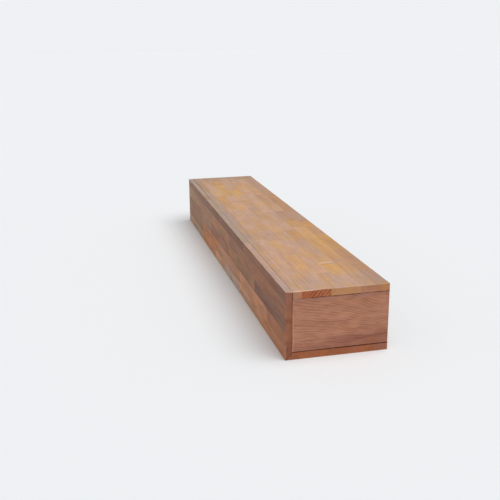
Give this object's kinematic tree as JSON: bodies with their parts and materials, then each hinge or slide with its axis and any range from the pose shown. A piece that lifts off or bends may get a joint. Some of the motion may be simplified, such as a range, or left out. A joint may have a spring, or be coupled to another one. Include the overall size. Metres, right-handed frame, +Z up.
{
  "type": "floating mantel shelf",
  "caption": "Hollow wooden box-beam mantel shelf with mitred lower front edge, inset end caps and an open back for a wall cleat.",
  "frame": {"origin": "middle of the underside, at the centre of the shelf's length and depth", "axes": "+X along the shelf, +Y from the front face towards the wall, +Z up"},
  "size_m": [1.524, 0.28, 0.185],
  "materials": {
    "front_staves": "oiled satin hardwood staves, grey-brown to orange-brown",
    "top_staves": "oiled satin hardwood staves, tan-pink to orange",
    "bottom_staves": "oiled satin hardwood staves, red-brown",
    "cap_board": "oiled satin single board, pink-brown with wavy horizontal grain"
  },
  "bodies": {
    "root": {"front_board": "front_staves", "top_board": "top_staves", "bottom_board": "bottom_staves", "end_cap_right": "cap_board", "end_cap_left": "cap_board"}
  },
  "joints": []
}
